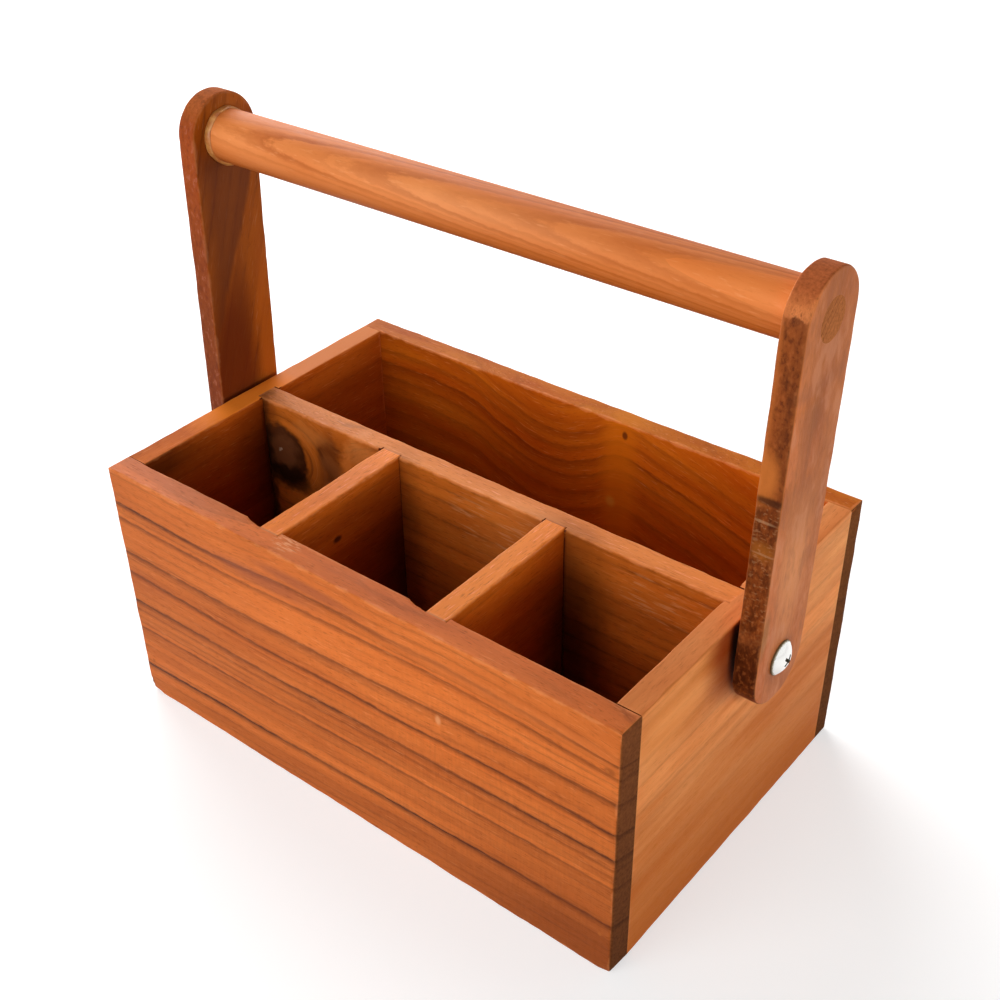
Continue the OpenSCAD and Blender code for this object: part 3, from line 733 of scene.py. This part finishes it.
# The bead of glue: steps round the dowel, the arm's face that it starts from, and its section, as shares of its width
# along the dowel and of its thickness. It is widest and thickest at a turn under the dowel
GLUE_STEPS, GLUE_FACE = 80, -127.6
GLUE_SECTION = [(0.0, -0.1), (0.0, 1.0), (0.35, 1.12), (0.7, 0.95), (0.92, 0.62), (1.0, 0.2), (1.0, -0.1), (0.5, -0.15)]
GLUE_SAG, GLUE_SAG_SPREAD = 1.45 * math.pi, 0.32


def glue_collar():
    """The ring of glue at the dowel's left end: a lumpy bead that is thickest under the dowel."""
    made = bmesh.new()
    rings = []
    for step in range(GLUE_STEPS):
        turn = 2 * math.pi * step / GLUE_STEPS
        out = Vector((0, math.cos(turn), math.sin(turn)))
        under = math.exp(-((turn - GLUE_SAG) / GLUE_SAG_SPREAD) ** 2)
        wide = 3.0 + 1.2 * noise.noise(Vector((2.2 * out.y, 2.2 * out.z, 4.0))) + 2.2 * under
        thick = 0.6 + 0.3 * noise.noise(Vector((3 * out.y, 3 * out.z, 9.0))) + 1.1 * under
        ring = [Vector(DOWEL_AXIS) + Vector((GLUE_FACE + wide * along, 0, 0)) + out * (DOWEL_R + thick * off)
                for along, off in GLUE_SECTION]
        rings.append([made.verts.new(point * MM) for point in ring])
    for ring, following in zip(rings, rings[1:] + rings[:1]):
        for i in range(len(ring)):
            j = (i + 1) % len(ring)
            made.faces.new((ring[i], ring[j], following[j], following[i]))
    bmesh.ops.recalc_face_normals(made, faces=made.faces)
    mesh = bpy.data.meshes.new("glue_collar")
    made.to_mesh(mesh)
    made.free()
    mesh.shade_smooth()
    mesh.materials.append(dried_glue("dried_wood_glue"))
    piece = bpy.data.objects.new("glue_collar", mesh)
    bpy.context.scene.collection.objects.link(piece)
    piece.modifiers.new("soft_bead", "SUBSURF").levels = 1
    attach(piece, "handle")


glue_collar()

# Distance from the box's middle below which a screw's recess is cut, and its radius, in millimetres
RECESS_X, RECESS_R = 139.5, 2.4


def metal(name, colour, rough, rim=None):
    """Plated steel: the room mirrored, softened by fine rubbing marks about 0.3 mm wide. A rim is the radius in
    millimetres about the pivot beyond which it is darkened and dulled, partly tarnish and partly a painted shadow and
    painted reflection of the wood round the head, and that colour; the screw's recess is then darkened as painted
    shade."""
    made, tree, surface = new_material(name)
    put = partial(add, tree)
    place = put("VectorMath", put("TexCoord", out="Object"), (1 / MM,) * 3, operation="MULTIPLY")
    marks = put("TexNoise", place, None, 1 / 0.3, 4.0, 0.6)
    gloss = put("MapRange", marks, 0.3, 0.7, rough * 0.8, rough * 1.25)
    tint = put("MapRange", marks, 0.3, 0.7, 0.92, 1.0)
    shade = put("VectorMath", linear(colour)[:3], named={"Scale": tint}, operation="SCALE")
    if rim:
        radius, tarnish_and_shade_colour = rim
        away = put("VectorMath", place, (0, 0, PIVOT_H), operation="SUBTRACT")
        away = put("VectorMath", away, (0, 1, 1), operation="MULTIPLY")
        away = put("VectorMath", away, operation="LENGTH", out=1)
        away = put("Math", away, put("MapRange", marks, 0.3, 0.7, -0.3, 0.3), operation="ADD")
        # Beyond the rim: tarnish, with a painted shadow and painted reflection of the wood round the head
        tarnish_and_painted_shade = put("MapRange", away, radius - 0.2, radius + 0.2, 0, 0.95, interpolation_type="SMOOTHSTEP")
        out = put("Math", put("SeparateXYZ", place), operation="ABSOLUTE")
        # The screw's recess is darkened: painted shade
        deep = put("MapRange", out, RECESS_X, RECESS_X - 0.4, 0, 0.9)
        deep = put("Math", deep, put("MapRange", away, RECESS_R + 0.4, RECESS_R, 0, 1), operation="MULTIPLY")
        tarnish_and_painted_shade = put("Math", tarnish_and_painted_shade, deep, operation="MAXIMUM")
        shade = put("MixRGB", tarnish_and_painted_shade, shade, linear(tarnish_and_shade_colour))
        gloss = put("MapRange", tarnish_and_painted_shade, 0, 1, gloss, 0.5)
    surface.inputs["Metallic"].default_value = 1.0
    tree.links.new(shade, surface.inputs["Base Color"])
    tree.links.new(gloss, surface.inputs["Roughness"])
    return made


# The nickel's dark rim is partly tarnish and partly painted shadow and reflection
nickel = metal("bright_nickel_plate", "#f6f5f1", 0.06, rim=(6.4, "#6e5f38"))
zinc = metal("zinc_plated_steel", "#b9bab8", 0.34)
for side in ("left", "right"):
    dress(side + "_pivot_screw", nickel)
    dress(side + "_washer", zinc)
# Brads: the heads are set below the face and filled, so only wood-coloured filler shows
dress("panel_brads", teak("wood_filler", 0, (0, 0, 1), 1, ("#a9571f", "#b86428"), end="#a9571f", spacing=5.0,
                          strength=0.1, seed=12.0))

# Light of the white room by the height of its walls, lift of the floor's white, and the lamps: name, place, size in
# metres and power in watts. The lamps point at a place inside the box
WALL_LEVEL, WALL_FADE = 2.4, (0.1, 0.35)
ROOM_LEVEL, ROOM_FADE, CEILING_LEVEL = 0.7, (0.35, 0.6), 0.03
FLOOR_LIFT, FLOOR_REACH, FLOOR_Z = 0.6, 4.0, -0.0002
LAMPS = [("soft_top", (-1.0, 0.6, 0.95), 1.2, 23.0), ("soft_front", (-0.25, -1.0, 0.8), 0.8, 5.0)]
LAMPS_AIM = (0, 0, 0.08)


def seen_white(tree):
    """1 for the rays that see the room: straight from the camera, mirrored, or through glass."""
    path = add(tree, "LightPath").node.outputs
    seen = add(tree, "Math", path["Is Camera Ray"], path["Is Glossy Ray"], operation="MAXIMUM")
    return add(tree, "Math", seen, path["Is Transmission Ray"], operation="MAXIMUM")


def studio():
    """White floor and room with two soft lamps, the stronger one above the left, and the photograph's camera."""
    scene = bpy.context.scene
    scene.view_settings.view_transform = "Standard"

    world = bpy.data.worlds.new("white_room")
    world.use_nodes = True
    scene.world = world
    tree = world.node_tree
    put = partial(add, tree)
    rise = put("SeparateXYZ", put("TexCoord", out="Generated")).node.outputs["Z"]
    walls = put("MapRange", rise, *WALL_FADE, WALL_LEVEL, 0)
    walls = put("Math", walls, put("MapRange", rise, *ROOM_FADE, ROOM_LEVEL, CEILING_LEVEL), operation="ADD")
    room = tree.nodes["Background"]
    room.inputs["Color"].default_value = (1, 1, 1, 1)
    tree.links.new(put("MapRange", seen_white(tree), 0, 1, walls, 1), room.inputs["Strength"])

    # Matt white paper, which keeps a soft shadow
    made, tree, surface = new_material("white_paper_sweep")
    surface.inputs["Base Color"].default_value = linear("#c8c8c8")
    surface.inputs["Roughness"].default_value = 0.9
    surface.inputs["Specular IOR Level"].default_value = 0.1
    surface.inputs["Emission Color"].default_value = (1, 1, 1, 1)
    lift = add(tree, "Math", seen_white(tree), FLOOR_LIFT, operation="MULTIPLY")
    tree.links.new(lift, surface.inputs["Emission Strength"])
    mesh = bpy.data.meshes.new("floor")
    corners = [(x * FLOOR_REACH, y * FLOOR_REACH, FLOOR_Z) for x, y in ((-1, -1), (1, -1), (1, 1), (-1, 1))]
    mesh.from_pydata(corners, [], [(0, 1, 2, 3)])
    mesh.materials.append(made)
    floor = bpy.data.objects.new("floor", mesh)
    scene.collection.objects.link(floor)

    for name, place, size, power in LAMPS:
        lamp = bpy.data.lights.new(name, "AREA")
        lamp.shape, lamp.size, lamp.energy = "DISK", size, power
        hung = bpy.data.objects.new(name, lamp)
        hung.location = place
        hung.rotation_euler = (Vector(place) - Vector(LAMPS_AIM)).to_track_quat("Z", "Y").to_euler()
        scene.collection.objects.link(hung)

    lens = bpy.data.cameras.new("camera")
    lens.sensor_width, lens.lens = CAMERA_SENSOR, CAMERA_LENS
    lens.shift_x, lens.shift_y = CAMERA_SHIFT
    lens.clip_start = 0.01
    eye = bpy.data.objects.new("camera", lens)
    right, up = Vector(CAMERA_RIGHT).normalized(), Vector(CAMERA_UP).normalized()
    turn = Matrix((right, up, right.cross(up))).transposed()
    eye.matrix_world = Matrix.Translation(CAMERA_PLACE) @ turn.to_4x4()
    scene.collection.objects.link(eye)
    scene.camera = eye


studio()
